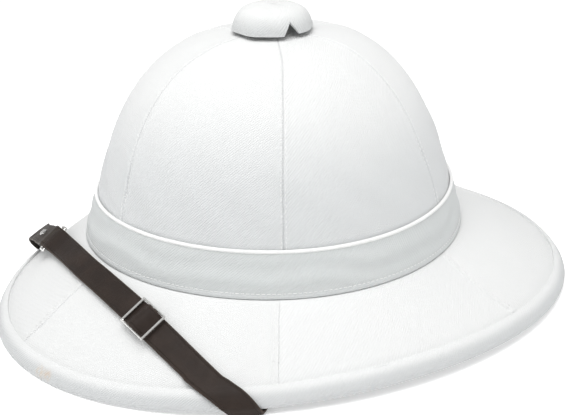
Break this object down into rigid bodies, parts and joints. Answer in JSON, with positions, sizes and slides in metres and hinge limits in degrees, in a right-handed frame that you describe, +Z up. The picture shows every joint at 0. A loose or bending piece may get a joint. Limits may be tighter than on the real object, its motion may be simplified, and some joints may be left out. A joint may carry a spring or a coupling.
{
  "type": "pith helmet",
  "caption": "Rigid cloth-covered sun helmet with a domed crown, flared brim, plain band, ventilator cap and a buckled leather chin strap parked over the front brim.",
  "frame": {"origin": "middle of the rim's outline, on the plane that the rim rests on", "axes": "+Z up through the crown; the wearer faces -Y, and +X is on the wearer's left"},
  "size_m": [0.2918, 0.3407, 0.1683],
  "materials": {
    "white_cloth": "fine plain weave, matt",
    "brown_leather": "grained, half matt, worn paler along the edges",
    "bright_steel": "plated, bright, lightly rubbed"
  },
  "bodies": {
    "root": {"crown": "white_cloth", "brim": "white_cloth", "band": "white_cloth", "piping": "white_cloth", "rim_binding": "white_cloth", "ventilator_cap": "white_cloth", "ventilator_stem": "bright_steel", "strap": "brown_leather", "strap_tab": "brown_leather", "strap_link": "bright_steel", "tab_rivet": "bright_steel", "slide_buckle": "bright_steel", "strap_stud_left": "bright_steel", "strap_stud_right": "bright_steel"}
  },
  "joints": []
}
